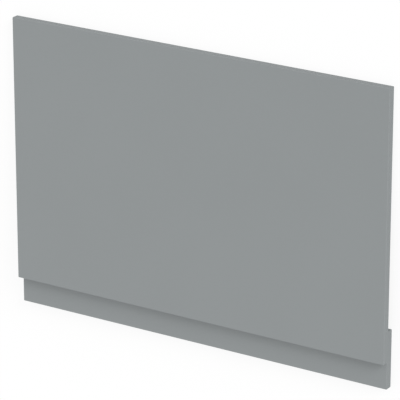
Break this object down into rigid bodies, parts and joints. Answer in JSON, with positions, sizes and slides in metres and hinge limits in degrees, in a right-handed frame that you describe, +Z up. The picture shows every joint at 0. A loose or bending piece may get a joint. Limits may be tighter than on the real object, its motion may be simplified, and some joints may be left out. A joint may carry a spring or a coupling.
{
  "type": "bath panel",
  "caption": "Flat grey bath end panel with a set-back plinth screwed behind its lower edge, closing the end of a bath from rim to floor.",
  "frame": {"origin": "on the floor under the middle of the panel as it lies face up", "axes": "+X along the panel's width, to the right as the face is seen with its plinth at the bottom; +Y along the floor from the plinth towards the panel's top edge; +Z up, out of the face apart from a lean of about 1.91 degrees"},
  "size_m": [0.78, 0.5606, 0.0318],
  "materials": {
    "satin_grey_board": "satin",
    "plated_screw": "satin"
  },
  "bodies": {
    "root": {"front_panel": "satin_grey_board", "plinth": "satin_grey_board"}
  },
  "joints": []
}
